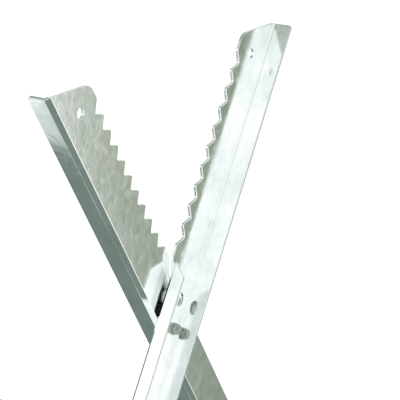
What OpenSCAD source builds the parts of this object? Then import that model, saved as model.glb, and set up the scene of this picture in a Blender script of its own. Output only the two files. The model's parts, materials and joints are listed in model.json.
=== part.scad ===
// Folding sawhorse of zinc plated sheet steel: two toothed X ends that carry a log,
// each made of two channel legs bolted back to back, joined by rails and held by stays.
// Frame: floor at z = 0, the log lies along Y, the X ends face along Y.

/* [Stance] */
// Lean of each leg from the vertical in the open stance
lean = 33; // [30:1:36]
// Height of the pivot bolts above the floor
pivot_h = 530; // [500:5:560]
// Distance between the two X ends, middle to middle
end_spacing = 500; // [440:10:560]

/* [Leg section] */
// Thickness of the leg sheet
sheet = 3; // [2.5:0.1:3.2]
// Distance from the pivot to the outer face of the deep flange
outer_w = 12; // [11.5:0.1:13]
// Distance from the pivot to the outer face of the toothed side's flange
inner_w = 34; // [33:0.5:36]
// Depth of the deep flange
deep_flange = 23; // [21:0.5:25]
// Depth of the shallow flange on the toothed side
shallow_flange = 16; // [15.5:0.5:18]
// Size of the 45 degree face at each fold
fold = 4; // [3:0.5:4]
// Clear gap between the webs of a pair of legs
web_gap = 3; // [2.8:0.1:3.4]

/* [Toothed arm] */
// Length of the arm above the pivot, along its outer edge
arm_l = 326; // [320:1:332]
// Number of teeth on each arm
teeth = 10; // [8:1:10]
// Distance from one tooth to the next
pitch = 20; // [19:0.5:20]
// Distance from the pivot up to the top tooth, along the leg
first_tooth = 253.5; // [252:0.5:255]
// Distance from the pivot line to the tooth tips
tip_w = 41; // [40:0.5:42]
// Radius of the tooth tips and valleys
tooth_r = 2.2; // [1.5:0.1:2.5]
// Radius of the arm's top corner on the toothed side
top_r = 16; // [10:1:16]
// Diameter of the hole near the arm's top
top_hole_d = 10; // [8:0.5:11]
// Diameter of the hanging hole above the pivot, in gate A's legs
hang_hole_d = 14; // [12:0.5:15]

/* [Rails] */
// Distance of the upper rails below the pivot, along the leg
upper_rail = 335; // [310:5:340]
// Distance of the lower rails below the pivot, along the leg
lower_rail = 520; // [480:5:520]
// Height of a rail's section along the leg
rail_h = 40; // [38:1:46]
// Depth of a rail's flanges
rail_d = 16; // [12:1:18]
// Thickness of the rail sheet
rail_t = 2; // [1.5:0.1:2.5]

/* [Stays] */
// Distance of the stay pins below the pivot, along the leg
stay_at = 140; // [130:1:150]
// Width of a stay
stay_w = 20; // [18:1:22]
// Thickness of a stay
stay_t = 2; // [1.8:0.1:2]
// Diameter of the stay pins
stay_pin_d = 7; // [6:0.5:8]

/* [Fasteners] */
// Diameter of the pivot bolts and the rail bolts
bolt_d = 6; // [5.5:0.1:6]
// Size of the nuts and bolt heads across flats
hex_af = 10; // [9.5:0.5:10]
// Outer diameter of the pivot washers
washer_d = 12; // [11.5:0.1:12]
// Thickness of the pivot washers
washer_t = 1.2; // [1:0.1:1.6]

/* [Feet] */
// Thickness of a foot's sole, measured upright
sole_t = 9; // [8:0.5:12]
// Length of the foot's plug inside the leg
plug_l = 34; // [25:1:40]

/* [Hidden] */
$fn = 48;

zinc = "#c9d2d0";
bright_zinc = "#dfe5e3";
rubber = "#2b2d2e";

big = 2000;                       // longer than the whole object, for cuts
past = 60;                        // how far a leg's blank runs past its cuts
clear = 0.3;                      // gap between faces of bodies that move apart
run = 0.06;                       // radial clearance of a turning pin
back = web_gap / 2;               // an end's middle plane to the back of a web
end_y = end_spacing / 2;
leg_bottom = (pivot_h - sole_t) / cos(lean);
fold_in = fold + sheet * (sqrt(2) - 1);
flange_slope = 13;                // the slanted top end of the shallow flange
fold_end = first_tooth - teeth * pitch + 4;      // where the shallow flange begins
last_tooth = first_tooth - (teeth - 1) * pitch;
shoulder = 0.65 * pitch;          // from the last tooth down to the web's slanted edge
shoulder_r = 3;
root_w = tip_w - pitch / 2;
top_hole_t = root_w / 2;          // holes: across the leg from the pivot (t)
top_hole_s = first_tooth + 1.35 * pitch;         // and up along it (s)
hang_hole_t = 6.3;
hang_hole_s = 28;
rail_bolt_y = -10.6;              // rail bolts, from the back of the web
rail_bolt_s = 11;                 // rail bolts, from the rail's middle
nut_h = 4;
hex_chamfer = 0.7;
end_chamfer = 0.8;
head_h = 4;
collar_h = 0.8;                   // the nut's locking collar
bolt_end = 0.6;                     // how far a bolt stands out of its nut
hole_play = 0.2;                  // radial gap of a washer or spacer on its bolt
head_y = web_gap + sheet + clear + washer_t;     // pivot bolt head's seat, in A's frame
nut_y = -sheet - washer_t;                       // pivot nut's seat
spacer_d = 16;
sole_rim = 2;                     // how far a sole stands out round its leg
shut_half = 4.5;                  // lean of each leg when folded
stay_open = 2 * stay_at * sin(lean);             // pin to stud, open
stay_shut = 2 * stay_at * sin(shut_half);        // pin to stud, folded
top_corner_r = 3;
rail_r = 2.5;                     // outer bend radius of a rail

// Points of a rounded corner at p, with the neighbours a and b; fine is the number of steps
function unit(v) = v / norm(v);
function corner(a, p, b, r, fine = 4) =
    let (u = unit(a - p), w = unit(b - p), half = acos(u * w) / 2,
         reach = r / tan(half), mid = unit(u + w), hub = p + mid * r / sin(half),
         p1 = p + u * reach - hub, p2 = p + w * reach - hub)
    r <= 0 ? [p] : [for (i = [0:fine])
        let (k = i / fine, v = unit(p1 * (1 - k) + p2 * k)) hub + v * r];

// A closed outline with a radius at each point: each entry is [x, y, radius]
function rounded(list) =
    let (n = len(list))
    [for (i = [0:n - 1])
        let (a = list[(i + n - 1) % n], p = list[i], b = list[(i + 1) % n])
        each corner([a[0], a[1]], [p[0], p[1]], [b[0], b[1]], p[2])];

// A leg in its own frame: the pivot is the origin, X points to the toothed side,
// Z points up along the leg, the back of the web is at y = 0 and the flanges go to -Y.
function tooth(i) =
    let (s = first_tooth - i * pitch)
    [[root_w, s + pitch / 2, tooth_r], [tip_w, s, tooth_r]];

function top_s(t) = arm_l - (t + outer_w) * tan(lean);

// The deep flange ends square to the leg, where the web's slanted top meets its fold
flange_top = top_s(-outer_w + fold);

module web_outline() {
    edge = [for (i = [0:teeth - 1]) each tooth(i)];
    polygon(rounded(concat(
        [[-outer_w + fold, -leg_bottom - past, 0],
         [-outer_w + fold, top_s(-outer_w + fold), 0],
         [tip_w, top_s(tip_w), top_r],
         [tip_w, first_tooth + pitch, shoulder_r]],
        edge,
        [[tip_w, last_tooth - shoulder, shoulder_r],
         [inner_w - fold, fold_end - flange_slope, 0],
         [inner_w - fold, -leg_bottom - past, 0]]
    )));
}

module channel_section() {
    polygon([
        [-outer_w, -deep_flange], [-outer_w, -fold], [-outer_w + fold, 0],
        [inner_w - fold, 0], [inner_w, -fold], [inner_w, -shallow_flange],
        [inner_w - sheet, -shallow_flange], [inner_w - sheet, -fold_in],
        [inner_w - fold_in, -sheet], [-outer_w + fold_in, -sheet],
        [-outer_w + sheet, -fold_in], [-outer_w + sheet, -deep_flange]
    ]);
}

module angle_section() {
    polygon([
        [-outer_w, -deep_flange], [-outer_w, -fold], [-outer_w + fold, 0],
        [outer_w, 0], [outer_w, -sheet], [-outer_w + fold_in, -sheet],
        [-outer_w + sheet, -fold_in], [-outer_w + sheet, -deep_flange]
    ]);
}

// A bore through the web at (t, s)
module web_bore(t, s, d) {
    translate([t, 1, s]) rotate([90, 0, 0]) cylinder(d = d, h = sheet + 2);
}

// Takes the sharp free corner off the deep flange at the arm's top
module top_corner_cut() {
    translate([-outer_w - 1, -deep_flange, flange_top])
        rotate([0, 90, 0])
        difference() {
            translate([-1, -1, 0]) cube([top_corner_r + 1, top_corner_r + 1, sheet + 2]);
            translate([top_corner_r, top_corner_r, -1]) cylinder(r = top_corner_r, h = sheet + 4);
        }
}

// Removes what lies above the level plane through the arm's top edge
module top_cut() {
    difference() {
        children();
        translate([-outer_w, 0, arm_l]) rotate([0, lean, 0])
            translate([-big / 2, -big / 2, 0]) cube(big);
    }
}

// Removes what lies below the level plane at height z above the floor
module floor_cut(z) {
    difference() {
        children();
        rotate([0, lean, 0]) translate([-big / 2, -big / 2, z - pivot_h - big]) cube(big);
    }
}

module leg_blank() {
    low = leg_bottom + past;
    floor_cut(sole_t) {
        rotate([90, 0, 0]) linear_extrude(sheet) web_outline();
        top_cut() translate([0, 0, -low]) linear_extrude(low + flange_top) angle_section();
        difference() {
            translate([0, 0, -low]) linear_extrude(low + fold_end) channel_section();
            // slanted top end of the shallow flange
            translate([inner_w - sheet - 3, -fold, fold_end])
                rotate([45, 0, 0]) translate([0, -past, 0]) cube([sheet + 6, past, past]);
        }
    }
}

// The places of the rail bolts on one flange: along X, from outside
module at_rail_bolts(rails, t) {
    for (rail = rails)
        for (side = [-1, 1])
            translate([t, rail_bolt_y, -rail + side * rail_bolt_s]) rotate([0, 90, 0]) children();
}

// A leg with its bores; only gate A's legs have the hanging hole
module leg(hanging) {
    color(zinc) difference() {
        leg_blank();
        top_corner_cut();
        web_bore(0, 0, bolt_d + 2 * run);
        web_bore(top_hole_t, top_hole_s, top_hole_d);
        if (hanging) web_bore(hang_hole_t, hang_hole_s, hang_hole_d);
        web_bore(0, -stay_at, stay_pin_d);
        at_rail_bolts([upper_rail, lower_rail], inner_w - sheet - 1)
            cylinder(d = bolt_d, h = sheet + 2);
    }
}

// Rails: a channel whose web lies on the shallow flanges of a gate's two legs
module rail_section() {
    h = rail_h / 2;
    out = inner_w + rail_d;
    skin = inner_w + rail_t;
    inside = rail_r - rail_t;
    polygon(rounded([
        [inner_w, -h, rail_r], [out, -h, 0], [out, -h + rail_t, 0],
        [skin, -h + rail_t, inside], [skin, h - rail_t, inside],
        [out, h - rail_t, 0], [out, h, 0], [inner_w, h, rail_r]
    ]));
}

module rail(at) {
    y_front = -end_y - shallow_flange;
    y_rear = end_y - fold;
    color(zinc) difference() {
        translate([0, y_rear, -at]) rotate([90, 0, 0])
            linear_extrude(y_rear - y_front) rail_section();
        for (y = [-end_y, end_y])
            translate([0, y, 0]) at_rail_bolts([at], inner_w - 1)
                cylinder(d = bolt_d, h = rail_t + 2);
    }
}

// Hexagon fasteners stand on z = 0 and rise along Z
module hexagon(h) {
    side_r = hex_af / 2 / cos(30);
    intersection() {
        cylinder(r = side_r, h = h, $fn = 6);
        rotate_extrude() polygon([
            [0, 0], [side_r, 0], [side_r, h - hex_chamfer], [hex_af / 2 - 0.2, h], [0, h]
        ]);
    }
}

module ring(outer, inner, h) {
    difference() {
        cylinder(d = outer, h = h);
        translate([0, 0, -1]) cylinder(d = inner, h = h + 2);
    }
}

// A shank with a chamfered end
module shank(l) {
    r = bolt_d / 2;
    rotate_extrude() polygon([[0, 0], [r, 0], [r, l - end_chamfer], [r - end_chamfer, l], [0, l]]);
}

module lock_nut() {
    difference() {
        union() {
            hexagon(nut_h);
            cylinder(d = hex_af - 1.6, h = nut_h + collar_h);
        }
        translate([0, 0, -1]) cylinder(d = bolt_d, h = nut_h + collar_h + 2);
    }
}

module rail_bolts() {
    grip = rail_t + sheet + nut_h + collar_h + bolt_end;
    for (y = [-end_y, end_y])
        translate([0, y, 0]) at_rail_bolts([upper_rail, lower_rail], inner_w + rail_t) {
            hexagon(head_h);
            mirror([0, 0, 1]) shank(grip);
        }
}

module rail_nuts() {
    for (y = [-end_y, end_y])
        translate([0, y, 0]) at_rail_bolts([upper_rail, lower_rail], inner_w - sheet)
            mirror([0, 0, 1]) lock_nut();
}

// Pivot hardware in the leg frame of gate A: the axis runs along Y, the nut is on the -Y side
module along_minus_y(y) {
    translate([0, y, 0]) rotate([90, 0, 0]) children();
}

module pivot_bolt() {
    color(bright_zinc) {
        along_minus_y(head_y) shank(head_y - nut_y + nut_h + collar_h + bolt_end);
        along_minus_y(head_y) mirror([0, 0, 1]) hexagon(head_h);
    }
}

module pivot_nut() {
    color(bright_zinc) along_minus_y(nut_y) lock_nut();
}

module pivot_washer(y) {
    color(bright_zinc) along_minus_y(y) ring(washer_d, bolt_d + 2 * hole_play, washer_t);
}

module pivot_spacer() {
    h = web_gap - clear;
    color(bright_zinc) along_minus_y(h) ring(spacer_d, bolt_d + 2 * hole_play, h);
}

// A headed pin that fills its bore in the web and ends flush with the stay's far face
module stay_pin() {
    reach = (web_gap + stay_t) / 2;
    seat = reach + sheet;
    pin_r = stay_pin_d / 2;
    head_r = pin_r + 2.5;
    color(bright_zinc) translate([0, reach, -stay_at]) rotate([90, 0, 0]) rotate_extrude()
        polygon([
            [0, 0], [pin_r, 0], [pin_r, seat], [head_r, seat],
            [head_r, seat + 1], [head_r - 1.6, seat + 2.4], [0, seat + 2.8]
        ]);
}

// The slotted stay, pinned to gate A's leg, its slot riding on gate B's pin
module stay(y) {
    slot_w = stay_pin_d + 2 * clear;
    color(zinc)
    translate([-stay_open / 2, y + stay_t / 2, pivot_h - stay_at * cos(lean)]) rotate([90, 0, 0])
    linear_extrude(stay_t) difference() {
        union() {
            circle(d = stay_w);
            translate([stay_open, 0]) circle(d = stay_w);
            translate([0, -stay_w / 2]) square([stay_open, stay_w]);
        }
        circle(d = stay_pin_d + 2 * run);
        for (x = [stay_shut, stay_open]) translate([x, 0]) circle(d = slot_w);
        translate([stay_shut, -slot_w / 2]) square([stay_open - stay_shut, slot_w]);
    }
}

// A foot: a plug in the leg's open end and a sole under its level cut
module foot() {
    low = leg_bottom + past;
    top = -leg_bottom + plug_l;
    color(rubber) {
        floor_cut(sole_t) translate([0, 0, -low]) linear_extrude(low + top) polygon([
            [-outer_w + sheet, -fold_in], [-outer_w + fold_in, -sheet],
            [inner_w - fold_in, -sheet], [inner_w - sheet, -fold_in],
            [inner_w - sheet, -shallow_flange], [-outer_w + sheet, -shallow_flange]
        ]);
        difference() {
            floor_cut(0) translate([0, 0, -low]) linear_extrude(low) polygon(rounded([
                [-outer_w - sole_rim, -deep_flange - sole_rim, 5], [-outer_w - sole_rim, 0, 2],
                [inner_w + sole_rim, 0, 2], [inner_w + sole_rim, -deep_flange - sole_rim, 5]
            ]));
            rotate([0, lean, 0]) translate([-big / 2, -big / 2, sole_t - pivot_h]) cube(big);
        }
    }
}

// Gate A stands as drawn; gate B is the same gate turned half a turn about the vertical
module gate_a(y = 0) {
    translate([0, y - back, pivot_h]) rotate([0, lean, 0]) mirror([1, 0, 0]) children();
}
module gate_b(y = 0) {
    rotate([0, 0, 180]) gate_a(-y) children();
}
module both_ends() {
    for (y = [-end_y, end_y]) translate([0, y, 0]) children();
}

module leg_a_front() { gate_a(-end_y) leg(true); }
module leg_a_rear() { gate_a(end_y) leg(true); }
module leg_b_front() { gate_b(-end_y) leg(false); }
module leg_b_rear() { gate_b(end_y) leg(false); }
module rail_a_upper() { gate_a() rail(upper_rail); }
module rail_a_lower() { gate_a() rail(lower_rail); }
module rail_b_upper() { gate_b() rail(upper_rail); }
module rail_b_lower() { gate_b() rail(lower_rail); }
module rail_a_bolts() { color(bright_zinc) gate_a() rail_bolts(); }
module rail_a_nuts() { color(bright_zinc) gate_a() rail_nuts(); }
module rail_b_bolts() { color(bright_zinc) gate_b() rail_bolts(); }
module rail_b_nuts() { color(bright_zinc) gate_b() rail_nuts(); }
module pivot_bolt_front() { gate_a(-end_y) pivot_bolt(); }
module pivot_bolt_rear() { gate_a(end_y) pivot_bolt(); }
module pivot_nut_front() { gate_a(-end_y) pivot_nut(); }
module pivot_nut_rear() { gate_a(end_y) pivot_nut(); }
module nut_washers() { gate_a() both_ends() pivot_washer(-sheet); }
module head_washers() { gate_a() both_ends() pivot_washer(head_y); }
module pivot_spacer_front() { gate_a(-end_y) pivot_spacer(); }
module pivot_spacer_rear() { gate_a(end_y) pivot_spacer(); }
module stay_front() { stay(-end_y); }
module stay_rear() { stay(end_y); }
module stay_pins() { gate_a() both_ends() stay_pin(); }
module stay_studs() { gate_b() both_ends() stay_pin(); }
module foot_a_front() { gate_a(-end_y) foot(); }
module foot_a_rear() { gate_a(end_y) foot(); }
module foot_b_front() { gate_b(-end_y) foot(); }
module foot_b_rear() { gate_b(end_y) foot(); }

leg_a_front();
leg_a_rear();
leg_b_front();
leg_b_rear();
rail_a_upper();
rail_a_lower();
rail_b_upper();
rail_b_lower();
rail_a_bolts();
rail_a_nuts();
rail_b_bolts();
rail_b_nuts();
pivot_bolt_front();
pivot_bolt_rear();
pivot_nut_front();
pivot_nut_rear();
nut_washers();
head_washers();
pivot_spacer_front();
pivot_spacer_rear();
stay_front();
stay_rear();
stay_pins();
stay_studs();
foot_a_front();
foot_a_rear();
foot_b_front();
foot_b_rear();
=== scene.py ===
"""A folding sawhorse of zinc plated sheet steel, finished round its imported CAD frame.

The X ends stand at -Y (front) and +Y (rear), the log lies along Y and the floor is at z = 0.
"""

import json
import math

import bmesh
import bpy
from bpy.props import FloatProperty, FloatVectorProperty, PointerProperty
from bpy.types import Operator, Panel, PropertyGroup
from mathutils import Matrix, Vector


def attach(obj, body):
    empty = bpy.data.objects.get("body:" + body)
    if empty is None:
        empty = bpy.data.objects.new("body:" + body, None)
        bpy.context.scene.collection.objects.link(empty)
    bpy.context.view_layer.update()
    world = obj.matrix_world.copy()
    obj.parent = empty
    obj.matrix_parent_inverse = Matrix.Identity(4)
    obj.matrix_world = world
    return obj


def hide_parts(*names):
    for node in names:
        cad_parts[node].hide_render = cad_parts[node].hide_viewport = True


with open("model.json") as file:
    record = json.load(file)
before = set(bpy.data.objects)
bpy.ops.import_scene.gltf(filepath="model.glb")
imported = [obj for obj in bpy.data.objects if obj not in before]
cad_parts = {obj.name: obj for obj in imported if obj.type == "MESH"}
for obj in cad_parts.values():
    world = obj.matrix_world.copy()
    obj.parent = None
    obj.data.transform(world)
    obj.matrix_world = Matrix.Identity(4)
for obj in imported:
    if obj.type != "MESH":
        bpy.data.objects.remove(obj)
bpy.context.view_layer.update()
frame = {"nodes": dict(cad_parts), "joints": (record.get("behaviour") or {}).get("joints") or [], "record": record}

bl_info = {
    "name": "Folding Sawhorse",
    "version": (1, 0, 0),
    "blender": (4, 5, 0),
    "location": "3D View > Sidebar > Sawhorse",
    "description": "Finishes the sheet steel, fasteners and feet of a folding sawhorse and sets its stage",
    "category": "Object",
}

MM = 0.001
MERGE_GAP = 0.01 * MM       # vertices nearer than this are one
PART_GAP = 0.15 * MM        # a vertex this near a parting plane lies on it
HOLE_SIZE = 30 * MM         # rings of sharp edges shorter than this are holes
LEG_SHEET = 3 * MM
RAIL_SHEET = 2 * MM
STAY_SHEET = 2 * MM
FLAT_ANGLE = math.radians(0.5)
FOLD_ANGLE = math.radians(25)      # faces of a sheet that meet at this or more have a soft edge
CUT_ANGLE = math.radians(55)       # and at more than this a cut edge
EDGE_ANGLE = math.radians(30)
SHARP_ANGLE = math.radians(38)

JOINTS = {joint["name"]: joint for joint in frame["joints"]}
PIVOT = Vector(JOINTS["fold"]["pos_m"])
STAY_PIN = Vector(JOINTS["stay_front_swing"]["pos_m"])
LEAN = math.atan2(PIVOT.x - STAY_PIN.x, PIVOT.z - STAY_PIN.z)
ALONG_LEG = {"a": Vector((math.sin(LEAN), 0, math.cos(LEAN))),
             "b": Vector((-math.sin(LEAN), 0, math.cos(LEAN)))}
ALONG_LOG = Vector((0, 1, 0))
ALONG_STAY = Vector((1, 0, 0))
GATES = ("a", "b")
ENDS = ("front", "rear")

# The studio, by the direction that a ray leaves in
SKY = (1.52, 1.52, 1.53, 1)             # where it is lit
EVEN_SKY = (1.30, 1.30, 1.30, 1)        # for diffuse rays, so that the floor stays pale
BACKDROP = (1.0, 1.0, 1.0, 1)           # for rays from the camera
NEAR_SHADE = (0.40, 0.445, 0.35, 1)     # level shade beside the lit front
FAR_SHADE = (0.23, 0.295, 0.24, 1)      # level shade farther round
DEEP_SHADE = (0.195, 0.255, 0.23, 1)    # shade straight down
FRONT_TURN = math.radians(55)           # turn at which the lit front ends
# upright dark strips: turn in degrees, half width and share of the light left
DARK_STRIPS = ((18, 0.26, 0.15), (-22, 0.20, 0.62), (-74, 0.13, 0.25))
FOLDED_DEPTH = 2.5                      # rays that bounced oftener than this see it lit
FOLDED_LIGHT = 0.9


# ---------------------------------------------------------------- settings

class SawhorseSteel(PropertyGroup):
    """Finish of the sheet steel"""
    light: FloatVectorProperty(
        name="Bright zinc", description="Colour of the plating where it is brightest",
        subtype="COLOR", size=3, min=0, max=1, default=(0.885, 0.905, 0.90))
    dull: FloatVectorProperty(
        name="Dull zinc", description="Colour of the duller clouds in the plating",
        subtype="COLOR", size=3, min=0, max=1, default=(0.71, 0.755, 0.745))
    roughness: FloatProperty(
        name="Roughness", description="How much the plating blurs what it mirrors",
        subtype="FACTOR", min=0, max=1, default=0.12)
    edge_width: FloatProperty(
        name="Edge softness", description="Width of the soft edge along each fold and tumbled cut",
        subtype="DISTANCE", unit="LENGTH", min=0.0001, max=0.0006, default=0.00045)


class SawhorseHardware(PropertyGroup):
    """Bolts, nuts, washers and pins"""
    # The default colour is darker than the sheet's zinc: painted shade for the dark reflections in the nuts'
    # facets.
    colour: FloatVectorProperty(
        name="Fastener zinc with painted shade", description="Colour of the bolts, nuts and washers",
        subtype="COLOR", size=3, min=0, max=1, default=(0.36, 0.39, 0.34))
    edge: FloatProperty(
        name="Edge", description="Width of the soft edges on nuts, heads and washers",
        subtype="DISTANCE", unit="LENGTH", min=0, max=0.001, default=0.00022)


class SawhorseFeet(PropertyGroup):
    """Rubber feet"""
    colour: FloatVectorProperty(
        name="Rubber", description="Colour of the rubber",
        subtype="COLOR", size=3, min=0, max=1, default=(0.035, 0.037, 0.038))
    edge: FloatProperty(
        name="Edge", description="Width of the moulded edges",
        subtype="DISTANCE", unit="LENGTH", min=0, max=0.003, default=0.0009)


class SawhorseStage(PropertyGroup):
    """Floor, light and camera"""
    floor_size: FloatProperty(
        name="Floor", description="Length of the floor's sides",
        subtype="DISTANCE", unit="LENGTH", min=4, max=60, default=40)
    floor_colour: FloatVectorProperty(
        name="Floor colour", description="Colour of the floor",
        subtype="COLOR", size=3, min=0, max=1, default=(0.90, 0.905, 0.90))
    azimuth: FloatProperty(
        name="Azimuth", description="Turn of the camera from the front end, about the vertical",
        subtype="ANGLE", unit="ROTATION", default=math.radians(-57.9))
    elevation: FloatProperty(
        name="Elevation", description="Angle of the camera above the level",
        subtype="ANGLE", unit="ROTATION", default=math.radians(17.2))
    roll: FloatProperty(
        name="Roll", description="Turn of the camera about its own axis",
        subtype="ANGLE", unit="ROTATION", default=math.radians(0.19))
    distance: FloatProperty(
        name="Distance", description="Distance from the camera to the point it looks at",
        subtype="DISTANCE", unit="LENGTH", min=0.5, max=10, default=1.877)
    aim: FloatVectorProperty(
        name="Aim", description="Point that the camera looks at, from the middle of the front pivot",
        subtype="XYZ", unit="LENGTH", size=3, default=(0.0412, -0.0076, 0.1194))
    lens: FloatProperty(
        name="Lens", description="Focal length in millimetres on a 36 mm sensor",
        min=20, max=400, default=176.1)


# ---------------------------------------------------------------- shader helpers

def add_node(tree, kind, settings=None, **sockets):
    """A node of that kind; settings are its own values and sockets its input values or links."""
    node = tree.nodes.new(kind)
    for key, value in (settings or {}).items():
        setattr(node, key, value)
    for key, value in sockets.items():
        socket = node.inputs[key.replace("_", " ")]
        if isinstance(value, bpy.types.NodeSocket):
            tree.links.new(value, socket)
        else:
            socket.default_value = value
    return node


def math_node(tree, operation, *values, clamp=False):
    """The result of a Math node on up to three values or sockets."""
    node = tree.nodes.new("ShaderNodeMath")
    node.operation = operation
    node.use_clamp = clamp
    for socket, value in zip(node.inputs, values):
        if isinstance(value, bpy.types.NodeSocket):
            tree.links.new(value, socket)
        else:
            socket.default_value = value
    return node.outputs[0]


def remap(tree, value, low, high, to_low=0.0, to_high=1.0, smooth=False):
    """value from low..high to to_low..to_high."""
    node = add_node(tree, "ShaderNodeMapRange",
                    {"interpolation_type": "SMOOTHSTEP" if smooth else "LINEAR"},
                    Value=value, From_Min=low, From_Max=high, To_Min=to_low, To_Max=to_high)
    return node.outputs[0]


def mix_colour(tree, factor, a, b):
    """Colour a turned into b by factor."""
    node = tree.nodes.new("ShaderNodeMix")
    node.data_type = "RGBA"
    for socket, value in ((node.inputs[0], factor), (node.inputs[6], a), (node.inputs[7], b)):
        if isinstance(value, bpy.types.NodeSocket):
            tree.links.new(value, socket)
        else:
            socket.default_value = value
    return node.outputs[2]


def noise(tree, vector, scale, detail=2.0, roughness=0.5, distortion=0.0):
    """The grey value of a noise texture."""
    return add_node(tree, "ShaderNodeTexNoise", Vector=vector, Scale=scale, Detail=detail,
                    Roughness=roughness, Distortion=distortion).outputs[0]


def new_group(name, inputs, outputs):
    """An empty shader group with sockets given as (name, kind, default), and its two end nodes."""
    group = bpy.data.node_groups.new(name, "ShaderNodeTree")
    for label, kind, default in inputs:
        socket = group.interface.new_socket(label, in_out="INPUT", socket_type=kind)
        if default is not None:
            socket.default_value = default
    for label, kind in outputs:
        group.interface.new_socket(label, in_out="OUTPUT", socket_type=kind)
    return group, group.nodes.new("NodeGroupInput"), group.nodes.new("NodeGroupOutput")


def use_group(tree, group, **sockets):
    """A shared group placed in a material with its own values."""
    node = tree.nodes.new("ShaderNodeGroup")
    node.node_tree = group
    for key, value in sockets.items():
        socket = node.inputs[key.replace("_", " ")]
        if isinstance(value, bpy.types.NodeSocket):
            tree.links.new(value, socket)
        else:
            socket.default_value = value
    return node


def rgba(colour):
    """A colour property as four numbers."""
    return (*colour, 1.0)


# ---------------------------------------------------------------- shared effects

def plating_group():
    """Cloudy zinc plating: broad clouds, faint crystals and fine rolling lines."""
    if "Zinc plating" in bpy.data.node_groups:
        return bpy.data.node_groups["Zinc plating"]
    group, start, end = new_group(
        "Zinc plating",
        [("Place", "NodeSocketVector", None), ("Run", "NodeSocketVector", None),
         ("Light", "NodeSocketColor", (0.8, 0.8, 0.8, 1)), ("Dull", "NodeSocketColor", (0.6, 0.6, 0.6, 1)),
         ("Roughness", "NodeSocketFloat", 0.2), ("Cloud Scale", "NodeSocketFloat", 22.0)],
        [("Colour", "NodeSocketColor"), ("Roughness", "NodeSocketFloat"), ("Height", "NodeSocketFloat")])
    place, run = start.outputs["Place"], start.outputs["Run"]
    clouds = noise(group, place, start.outputs["Cloud Scale"], 4.0, 0.6, 0.4)
    crystals = add_node(group, "ShaderNodeTexVoronoi", {"feature": "SMOOTH_F1"}, Vector=place,
                        Scale=150.0, Smoothness=0.6).outputs["Color"]
    crystal = add_node(group, "ShaderNodeSeparateColor", Color=crystals).outputs[0]
    lines_at = add_node(group, "ShaderNodeMapping", Vector=run, Scale=(900.0, 14.0, 1.0)).outputs[0]
    lines = noise(group, lines_at, 1.0, 2.0, 0.6)
    speck = noise(group, place, 1400.0, 2.0, 0.6)
    mask = math_node(group, "MULTIPLY_ADD", crystal, 0.34, remap(group, clouds, 0.3, 0.7, -0.1, 0.7))
    mask = math_node(group, "MULTIPLY_ADD", lines, 0.14, mask, clamp=True)
    colour = mix_colour(group, mask, start.outputs["Dull"], start.outputs["Light"])
    rough = math_node(group, "MULTIPLY_ADD", remap(group, clouds, 0.3, 0.7, 0.5, -0.5), 0.07,
                      start.outputs["Roughness"])
    rough = math_node(group, "MULTIPLY_ADD", math_node(group, "SUBTRACT", lines, 0.5), 0.08, rough)
    rough = math_node(group, "MULTIPLY_ADD", math_node(group, "SUBTRACT", crystal, 0.5), 0.05, rough,
                      clamp=True)
    height = math_node(group, "MULTIPLY_ADD", lines, 0.10, math_node(group, "MULTIPLY", speck, 0.06))
    height = math_node(group, "MULTIPLY_ADD", clouds, 1.5, height)
    height = math_node(group, "MULTIPLY_ADD", crystal, 0.12, height)
    group.links.new(colour, end.inputs["Colour"])
    group.links.new(rough, end.inputs["Roughness"])
    group.links.new(height, end.inputs["Height"])
    return group


def cut_group():
    """The sheared edge of a sheet: short marks across the cut, paler and rougher than the plating."""
    if "Sheared edge" in bpy.data.node_groups:
        return bpy.data.node_groups["Sheared edge"]
    group, start, end = new_group(
        "Sheared edge",
        [("Place", "NodeSocketVector", None), ("Colour", "NodeSocketColor", (0.8, 0.8, 0.8, 1)),
         ("Roughness", "NodeSocketFloat", 0.2), ("Height", "NodeSocketFloat", 0.0),
         ("Cut", "NodeSocketFloat", 0.0)],
        [("Colour", "NodeSocketColor"), ("Roughness", "NodeSocketFloat"), ("Height", "NodeSocketFloat")])
    cut = start.outputs["Cut"]
    marks_at = add_node(group, "ShaderNodeMapping", Vector=start.outputs["Place"],
                        Scale=(1500.0, 90.0, 1500.0)).outputs[0]
    marks = noise(group, marks_at, 1.0, 2.0, 0.5)
    bright = mix_colour(group, remap(group, marks, 0.3, 0.7), (0.66, 0.70, 0.68, 1), (0.92, 0.94, 0.93, 1))
    colour = mix_colour(group, cut, start.outputs["Colour"], bright)
    rough = math_node(group, "MULTIPLY_ADD", cut, remap(group, marks, 0.3, 0.7, 0.10, 0.26),
                      start.outputs["Roughness"], clamp=True)
    height = math_node(group, "MULTIPLY_ADD", math_node(group, "MULTIPLY", cut, marks), 0.25,
                       start.outputs["Height"])
    group.links.new(colour, end.inputs["Colour"])
    group.links.new(rough, end.inputs["Roughness"])
    group.links.new(height, end.inputs["Height"])
    return group


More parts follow.
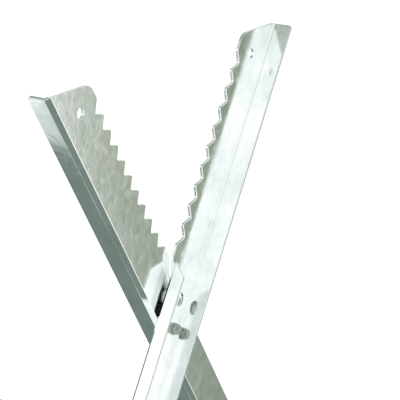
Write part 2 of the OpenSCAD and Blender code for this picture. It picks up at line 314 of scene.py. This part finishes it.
def handling_group():
    """Marks of handling: fine scratches in two directions and dull smears."""
    if "Handling marks" in bpy.data.node_groups:
        return bpy.data.node_groups["Handling marks"]
    group, start, end = new_group(
        "Handling marks",
        [("Place", "NodeSocketVector", None), ("Amount", "NodeSocketFloat", 0.5)],
        [("Scratch", "NodeSocketFloat"), ("Smear", "NodeSocketFloat")])
    amount = start.outputs["Amount"]
    scratches = []
    for turn, stretch in ((0.5, (40.0, 900.0, 60.0)), (2.1, (900.0, 55.0, 45.0))):
        at = add_node(group, "ShaderNodeMapping", Vector=start.outputs["Place"],
                      Rotation=(turn, 0.3, turn), Scale=stretch).outputs[0]
        scratches.append(remap(group, noise(group, at, 1.0, 1.0, 0.4), 0.70, 0.76))
    both = math_node(group, "MAXIMUM", *scratches)
    patches = remap(group, noise(group, start.outputs["Place"], 18.0, 2.0, 0.6), 0.52, 0.66, smooth=True)
    scratch = math_node(group, "MULTIPLY", math_node(group, "MULTIPLY", both, patches), amount)
    smear = remap(group, noise(group, start.outputs["Place"], 9.0, 5.0, 0.65, 1.2), 0.5, 0.75, smooth=True)
    group.links.new(scratch, end.inputs["Scratch"])
    group.links.new(math_node(group, "MULTIPLY", smear, amount), end.inputs["Smear"])
    return group


# ---------------------------------------------------------------- materials

def new_material(name):
    """A node material with an empty tree, its Principled shader and the usual coordinates."""
    material = bpy.data.materials.new(name)
    material.use_nodes = True
    tree = material.node_tree
    tree.nodes.clear()
    shader = tree.nodes.new("ShaderNodeBsdfPrincipled")
    out = tree.nodes.new("ShaderNodeOutputMaterial")
    tree.links.new(shader.outputs[0], out.inputs["Surface"])
    place = tree.nodes.new("ShaderNodeTexCoord").outputs["Object"]
    return material, tree, shader, place


def bump(tree, shader, height, strength, distance):
    """Feeds height to the shader's normal."""
    node = add_node(tree, "ShaderNodeBump", Strength=strength, Distance=distance, Height=height)
    tree.links.new(node.outputs[0], shader.inputs["Normal"])


def zinc_sheet(steel):
    """Bright zinc plated sheet with paler sheared edges."""
    if "Zinc sheet" in bpy.data.materials:
        return bpy.data.materials["Zinc sheet"]
    material, tree, shader, place = new_material("Zinc sheet")
    run = add_node(tree, "ShaderNodeUVMap", {"uv_map": "run"}).outputs[0]
    cut = add_node(tree, "ShaderNodeAttribute", {"attribute_name": "cut"}).outputs["Fac"]
    plating = use_group(tree, plating_group(), Place=place, Run=run, Light=rgba(steel.light),
                        Dull=rgba(steel.dull), Roughness=steel.roughness, Cloud_Scale=22.0)
    edge = use_group(tree, cut_group(), Place=place, Colour=plating.outputs["Colour"],
                     Roughness=plating.outputs["Roughness"], Height=plating.outputs["Height"], Cut=cut)
    marks = use_group(tree, handling_group(), Place=place, Amount=0.6)
    colour = mix_colour(tree, math_node(tree, "MULTIPLY", marks.outputs["Smear"], 0.25),
                        edge.outputs["Colour"], (0.60, 0.66, 0.63, 1))
    colour = mix_colour(tree, math_node(tree, "MULTIPLY", marks.outputs["Scratch"], 0.5),
                        colour, (0.93, 0.95, 0.94, 1))
    rough = math_node(tree, "MULTIPLY_ADD", marks.outputs["Smear"], 0.10, edge.outputs["Roughness"])
    rough = math_node(tree, "MULTIPLY_ADD", marks.outputs["Scratch"], 0.15, rough, clamp=True)
    shader.inputs["Metallic"].default_value = 1.0
    tree.links.new(colour, shader.inputs["Base Color"])
    tree.links.new(rough, shader.inputs["Roughness"])
    height = math_node(tree, "MULTIPLY_ADD", marks.outputs["Scratch"], -0.12, edge.outputs["Height"])
    bump(tree, shader, height, 0.35, 0.0004)
    return material


def zinc_fastener(hardware):
    """Plated fasteners, darker than the sheet as painted shade for the dark reflections in their facets, with a
    cloudy bloom and dull smears.
    """
    if "Zinc fastener with painted shade" in bpy.data.materials:
        return bpy.data.materials["Zinc fastener with painted shade"]
    material, tree, shader, place = new_material("Zinc fastener with painted shade")
    grain = noise(tree, place, 900.0, 3.0, 0.6)
    bloom = noise(tree, place, 260.0, 3.0, 0.6)
    marks = use_group(tree, handling_group(), Place=place, Amount=0.7)
    # The darkened base colour is painted shade for the facets' dark reflections; the bloom clouds and smears are
    # the plating's own.
    colour = mix_colour(tree, remap(tree, bloom, 0.35, 0.7), rgba([c * 0.72 for c in hardware.colour]),
                        rgba(hardware.colour))
    colour = mix_colour(tree, math_node(tree, "MULTIPLY", marks.outputs["Smear"], 0.3), colour,
                        (0.58, 0.60, 0.50, 1))
    shader.inputs["Metallic"].default_value = 1.0
    tree.links.new(colour, shader.inputs["Base Color"])
    tree.links.new(remap(tree, grain, 0.3, 0.7, 0.10, 0.24), shader.inputs["Roughness"])
    bump(tree, shader, math_node(tree, "MULTIPLY_ADD", grain, 0.6, marks.outputs["Scratch"]), 0.25, 0.0001)
    return material


def moulded_rubber(feet):
    """Matte rubber with a fine grain, dusty where it meets the ground."""
    if "Moulded rubber" in bpy.data.materials:
        return bpy.data.materials["Moulded rubber"]
    material, tree, shader, place = new_material("Moulded rubber")
    grain = noise(tree, place, 1100.0, 3.0, 0.6)
    cloud = noise(tree, place, 60.0, 4.0, 0.6)
    height_up = add_node(tree, "ShaderNodeSeparateXYZ", Vector=place).outputs["Z"]
    low = remap(tree, height_up, 0.0, 0.012, 1.0, 0.0, smooth=True)
    dust = math_node(tree, "MULTIPLY", low, remap(tree, cloud, 0.35, 0.65, 0.1, 0.6))
    colour = mix_colour(tree, remap(tree, cloud, 0.3, 0.7), rgba([c * 0.75 for c in feet.colour]),
                        rgba([c * 1.5 for c in feet.colour]))
    colour = mix_colour(tree, dust, colour, (0.30, 0.28, 0.25, 1))
    tree.links.new(colour, shader.inputs["Base Color"])
    tree.links.new(remap(tree, grain, 0.3, 0.7, 0.62, 0.85), shader.inputs["Roughness"])
    shader.inputs["Specular IOR Level"].default_value = 0.4
    bump(tree, shader, grain, 0.4, 0.0002)
    return material


# ---------------------------------------------------------------- mesh helpers

def hole_lines(bm, along, across):
    """Planes along the piece through the middles of its holes, as (place, normal)."""
    sharp = {e for e in bm.edges if len(e.link_faces) == 2 and e.calc_face_angle(0) > CUT_ANGLE}
    sides = (across, along.cross(across))
    lines = set()
    while sharp:
        ahead, ring = [sharp.pop()], set()
        while ahead:
            for vert in ahead.pop().verts:
                ring.add(vert)
                for edge in vert.link_edges:
                    if edge in sharp:
                        sharp.remove(edge)
                        ahead.append(edge)
        spans = []
        for axis in (along, *sides):
            places = [vert.co.dot(axis) for vert in ring]
            spans.append((min(places), max(places)))
        for flat, other in ((1, 2), (2, 1)):
            if spans[0][1] - spans[0][0] < HOLE_SIZE and spans[flat][1] - spans[flat][0] < PART_GAP:
                lines.add((round(sum(spans[other]) / 2, 4), sides[other - 1].freeze()))
    return lines


def joined_copy(node, along=None, across=None):
    """A bmesh of a CAD node's shape, its loose triangles joined into whole faces.

    Faces with holes are parted lengthwise through the holes, so that none has a hole inside it.
    """
    bm = bmesh.new()
    bm.from_mesh(frame["nodes"][node].data)
    bmesh.ops.remove_doubles(bm, verts=bm.verts, dist=MERGE_GAP)
    for place, normal in hole_lines(bm, along, across) if along else ():
        parted = bmesh.ops.bisect_plane(bm, geom=[*bm.verts, *bm.edges, *bm.faces], dist=PART_GAP,
                                        plane_co=normal * place, plane_no=normal)
        for part in parted["geom_cut"]:
            if isinstance(part, bmesh.types.BMEdge):
                part.seam = True
    bmesh.ops.dissolve_limit(bm, angle_limit=FLAT_ANGLE, verts=bm.verts, edges=bm.edges,
                             delimit={"SEAM"})
    return bm


def soften(bm, width, least_angle, segments):
    """Rounds the edges whose faces meet at that angle or more."""
    edges = [e for e in bm.edges if len(e.link_faces) == 2 and e.calc_face_angle(0) >= least_angle]
    bmesh.ops.bevel(bm, geom=edges, offset=width, offset_type="OFFSET", affect="EDGES",
                    segments=segments, profile=0.5, material=-1, clamp_overlap=False)


def unroll(bm, along):
    """A UV map in metres whose V runs along the piece, on every face."""
    layer = bm.loops.layers.uv.new("run")
    for face in bm.faces:
        across = face.normal.cross(along)
        if across.length < 0.2:
            across = along.orthogonal()
        across.normalize()
        for loop in face.loops:
            loop[layer].uv = (loop.vert.co.dot(across), loop.vert.co.dot(along))


def finish_piece(bm, name, material, body, nodes=()):
    """Makes the object, shades it, hangs it on its body and hides the CAD nodes that it stands for."""
    for face in bm.faces:
        face.smooth = True
    for edge in bm.edges:
        edge.smooth = len(edge.link_faces) != 2 or edge.calc_face_angle(0) < SHARP_ANGLE
        edge.seam = False
    mesh = bpy.data.meshes.new(name)
    bm.to_mesh(mesh)
    bm.free()
    mesh.materials.append(material)
    piece = bpy.data.objects.new(name, mesh)
    bpy.context.scene.collection.objects.link(piece)
    even = piece.modifiers.new("Even shading", "WEIGHTED_NORMAL")
    even.keep_sharp = True
    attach(piece, body)
    if nodes:
        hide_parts(*nodes)
    return piece


def body_of(node):
    """The body that a CAD node rides on."""
    for body, nodes in frame["record"]["behaviour"]["bodies"].items():
        if node in nodes:
            return body
    raise RuntimeError(f"no body holds {node}")


def mark_cut(bm, sheet, along, across):
    """Marks the cut faces: the ends, and the faces as narrow as the sheet is thick."""
    layer = bm.faces.layers.float.new("cut")
    for face in bm.faces:
        if abs(face.normal.dot(along)) > 0.8:
            face[layer] = 1.0
        for axis in (across, along.cross(across)):
            places = [v.co.dot(axis) for v in face.verts]
            if max(places) - min(places) < sheet * 1.05 and abs(face.normal.dot(axis)) < 0.3:
                face[layer] = 1.0


def sheet_piece(node, name, along, across, steel, sheet):
    """A folded sheet from its CAD node, with soft folds, tumbled cut edges and marked cuts."""
    bm = joined_copy(node, along, across)
    mark_cut(bm, sheet, along, across)
    soften(bm, steel.edge_width, FOLD_ANGLE, 3)
    unroll(bm, along)
    return finish_piece(bm, name, zinc_sheet(steel), body_of(node), [node])


def fastener_piece(node, name, hardware):
    """Nuts, heads, washers or pins from their CAD node, with soft edges."""
    bm = joined_copy(node)
    soften(bm, hardware.edge, EDGE_ANGLE, 2)
    return finish_piece(bm, name, zinc_fastener(hardware), body_of(node), [node])


# ---------------------------------------------------------------- operators

class SAWHORSE_OT_legs(Operator):
    """Finish the four toothed channel legs"""
    bl_idname = "sawhorse.legs"
    bl_label = "Legs"

    def execute(self, context):
        steel = context.scene.sawhorse_steel
        for gate in GATES:
            for end in ENDS:
                node = f"leg_{gate}_{end}"
                sheet_piece(node, f"steel_leg_{gate}_{end}", ALONG_LEG[gate], ALONG_LOG, steel, LEG_SHEET)
        return {"FINISHED"}


class SAWHORSE_OT_rails(Operator):
    """Finish the four rails between the X ends"""
    bl_idname = "sawhorse.rails"
    bl_label = "Rails"

    def execute(self, context):
        steel = context.scene.sawhorse_steel
        for gate in GATES:
            for level in ("upper", "lower"):
                node = f"rail_{gate}_{level}"
                sheet_piece(node, f"steel_{node}", ALONG_LOG, ALONG_LEG[gate], steel, RAIL_SHEET)
        return {"FINISHED"}


class SAWHORSE_OT_stays(Operator):
    """Finish the two slotted stays"""
    bl_idname = "sawhorse.stays"
    bl_label = "Stays"

    def execute(self, context):
        steel = context.scene.sawhorse_steel
        for end in ENDS:
            sheet_piece(f"stay_{end}", f"steel_stay_{end}", ALONG_STAY, ALONG_LOG, steel, STAY_SHEET)
        return {"FINISHED"}


class SAWHORSE_OT_fasteners(Operator):
    """Finish the bolts, nuts, washers, spacers and pins"""
    bl_idname = "sawhorse.fasteners"
    bl_label = "Fasteners"

    def execute(self, context):
        hardware = context.scene.sawhorse_hardware
        nodes = ["nut_washers", "head_washers", "stay_pins", "stay_studs"]
        nodes += [f"rail_{gate}_{kind}" for gate in GATES for kind in ("bolts", "nuts")]
        nodes += [f"pivot_{kind}_{end}" for kind in ("bolt", "nut", "spacer") for end in ENDS]
        for node in nodes:
            fastener_piece(node, f"plated_{node}", hardware)
        return {"FINISHED"}


class SAWHORSE_OT_feet(Operator):
    """Finish the four rubber feet"""
    bl_idname = "sawhorse.feet"
    bl_label = "Feet"

    def execute(self, context):
        feet = context.scene.sawhorse_feet
        for gate in GATES:
            for end in ENDS:
                node = f"foot_{gate}_{end}"
                bm = joined_copy(node)
                soften(bm, feet.edge, EDGE_ANGLE, 3)
                finish_piece(bm, f"rubber_foot_{gate}_{end}", moulded_rubber(feet), body_of(node),
                             [node])
        return {"FINISHED"}


def toward(tree, x, y, turn):
    """Sine of the angle from that turn (from the front end, about the vertical) to a ray."""
    return math_node(tree, "ADD", math_node(tree, "MULTIPLY", x, math.cos(turn)),
                     math_node(tree, "MULTIPLY", y, math.sin(turn)))


def strip_light(tree, x, y, turn, half_width, left):
    """The share of light left by an upright dark strip at that turn; one away from it."""
    off = math_node(tree, "ABSOLUTE", toward(tree, x, y, turn))
    dimmed = remap(tree, off, half_width * 0.7, half_width, left, 1.0, smooth=True)
    away = math_node(tree, "LESS_THAN", toward(tree, x, y, turn - math.pi / 2), 0.0)
    return math_node(tree, "MAXIMUM", dimmed, away)


def studio_world(scene):
    """A soft studio: white above and in front, shaded low down to the right and behind."""
    world = bpy.data.worlds.new("Studio")
    scene.world = world
    world.use_nodes = True
    tree = world.node_tree
    tree.nodes.clear()
    ray = tree.nodes.new("ShaderNodeTexCoord").outputs["Generated"]
    x, y, z = add_node(tree, "ShaderNodeSeparateXYZ", Vector=ray).outputs
    side = toward(tree, x, y, FRONT_TURN)
    front = remap(tree, side, -0.10, 0.01, 1.0, 0.0, smooth=True)
    not_deep = remap(tree, z, -0.76, -0.60, 0.0, 1.0, smooth=True)
    above = remap(tree, z, -0.02, 0.16, 0.0, 1.0, smooth=True)
    above = math_node(tree, "MULTIPLY", above, remap(tree, x, -0.30, 0.25, 1.0, 0.50))
    lit = math_node(tree, "MAXIMUM", above, math_node(tree, "MULTIPLY", front, not_deep))
    low = remap(tree, z, -0.45, -0.30, 1.0, 0.0)
    for turn, half_width, left in DARK_STRIPS:
        share = strip_light(tree, x, y, math.radians(turn), half_width, left)
        lit = math_node(tree, "MULTIPLY", lit, math_node(tree, "MAXIMUM", share, low))
    lit = math_node(tree, "MULTIPLY", lit, remap(tree, z, 0.575, 0.70, 1.0, 0.12))
    lit = math_node(tree, "MULTIPLY", lit, remap(tree, y, 0.0, 0.3, 1.0, 0.95))
    path = tree.nodes.new("ShaderNodeLightPath").outputs
    folded_in = math_node(tree, "GREATER_THAN", path["Ray Depth"], FOLDED_DEPTH)
    lit = math_node(tree, "MAXIMUM", lit, math_node(tree, "MULTIPLY", folded_in, FOLDED_LIGHT))
    deep = remap(tree, z, -0.95, -0.25, 0.0, 1.0)
    far_side = remap(tree, side, 0.0, 0.12, 0.0, 1.0, smooth=True)
    level_shade = mix_colour(tree, far_side, NEAR_SHADE, FAR_SHADE)
    shade = mix_colour(tree, deep, DEEP_SHADE, level_shade)
    colour = mix_colour(tree, lit, shade, SKY)
    colour = mix_colour(tree, path["Is Diffuse Ray"], colour, EVEN_SKY)
    colour = mix_colour(tree, path["Is Camera Ray"], colour, BACKDROP)
    back = add_node(tree, "ShaderNodeBackground", Color=colour, Strength=1.0)
    out = tree.nodes.new("ShaderNodeOutputWorld")
    tree.links.new(back.outputs[0], out.inputs["Surface"])


def pale_floor(stage):
    """A plain pale floor, not seen in the steel."""
    bm = bmesh.new()
    bmesh.ops.create_grid(bm, x_segments=1, y_segments=1, size=stage.floor_size / 2)
    mesh = bpy.data.meshes.new("floor")
    bm.to_mesh(mesh)
    bm.free()
    material, tree, shader, place = new_material("Pale floor")
    cloud = noise(tree, place, 1.5, 3.0, 0.5)
    dim = rgba([c * 0.985 for c in stage.floor_colour])
    tree.links.new(mix_colour(tree, cloud, dim, rgba(stage.floor_colour)), shader.inputs["Base Color"])
    shader.inputs["Roughness"].default_value = 0.9
    shader.inputs["Specular IOR Level"].default_value = 0.1
    mesh.materials.append(material)
    floor = bpy.data.objects.new("floor", mesh)
    bpy.context.scene.collection.objects.link(floor)
    floor.visible_glossy = False


def soft_light(name, place, target, size, power):
    """A square soft light that the steel doesn't mirror."""
    lamp = bpy.data.lights.new(name, "AREA")
    lamp.shape = "SQUARE"
    lamp.size = size
    lamp.energy = power
    light = bpy.data.objects.new(name, lamp)
    light.location = place
    light.rotation_euler = (Vector(target) - Vector(place)).to_track_quat("-Z", "Y").to_euler()
    light.visible_glossy = False
    bpy.context.scene.collection.objects.link(light)


def place_camera(scene, stage):
    """The camera, aimed at a point given from the middle of the front pivot."""
    turn, rise, roll = stage.azimuth, stage.elevation, stage.roll
    back = Vector((math.sin(turn) * math.cos(rise), -math.cos(turn) * math.cos(rise), math.sin(rise)))
    right = Vector((math.cos(turn), math.sin(turn), 0))
    up = back.cross(right)
    right, up = (right * math.cos(roll) + up * math.sin(roll), up * math.cos(roll) - right * math.sin(roll))
    front_pivot = Vector((PIVOT.x, STAY_PIN.y, PIVOT.z))
    camera = bpy.data.objects.new("camera", bpy.data.cameras.new("camera"))
    camera.data.sensor_width = 36
    camera.data.lens = stage.lens
    camera.data.clip_end = 200
    turned = Matrix((right, up, back)).transposed().to_4x4()
    camera.matrix_world = Matrix.Translation(front_pivot + Vector(stage.aim) + back * stage.distance) @ turned
    scene.collection.objects.link(camera)
    scene.camera = camera


class SAWHORSE_OT_stage(Operator):
    """Set the floor, the light and the camera"""
    bl_idname = "sawhorse.stage"
    bl_label = "Stage"

    def execute(self, context):
        scene = context.scene
        stage = scene.sawhorse_stage
        pale_floor(stage)
        studio_world(scene)
        soft_light("key", (-1.6, -2.2, 3.0), PIVOT, 1.6, 30)
        place_camera(scene, stage)
        scene.view_settings.view_transform = "Standard"
        return {"FINISHED"}


class SAWHORSE_PT_panel(Panel):
    """Lists the sawhorse's pieces and settings"""
    bl_label = "Folding Sawhorse"
    bl_idname = "SAWHORSE_PT_panel"
    bl_space_type = "VIEW_3D"
    bl_region_type = "UI"
    bl_category = "Sawhorse"

    def draw(self, context):
        for operator in OPERATORS:
            self.layout.operator(operator.bl_idname)
        for name, group in SETTINGS.items():
            box = self.layout.box()
            for field in group.__annotations__:
                box.prop(getattr(context.scene, name), field)


SETTINGS = {
    "sawhorse_steel": SawhorseSteel,
    "sawhorse_hardware": SawhorseHardware,
    "sawhorse_feet": SawhorseFeet,
    "sawhorse_stage": SawhorseStage,
}
OPERATORS = (
    SAWHORSE_OT_stage,
    SAWHORSE_OT_legs,
    SAWHORSE_OT_rails,
    SAWHORSE_OT_stays,
    SAWHORSE_OT_fasteners,
    SAWHORSE_OT_feet,
)


def register():
    """Adds the settings, operators and panel to Blender."""
    for cls in (*SETTINGS.values(), *OPERATORS, SAWHORSE_PT_panel):
        bpy.utils.register_class(cls)
    for name, group in SETTINGS.items():
        setattr(bpy.types.Scene, name, PointerProperty(type=group))


def unregister():
    """Takes them away again."""
    for name in SETTINGS:
        delattr(bpy.types.Scene, name)
    for cls in (SAWHORSE_PT_panel, *reversed(OPERATORS), *reversed(tuple(SETTINGS.values()))):
        bpy.utils.unregister_class(cls)


def main():
    """Builds the stage and every piece in order."""
    register()
    for operator in OPERATORS:
        module, name = operator.bl_idname.split(".")
        if getattr(getattr(bpy.ops, module), name)() != {"FINISHED"}:
            raise RuntimeError(f"{operator.bl_label} did not finish")


if __name__ == "__main__":
    main()
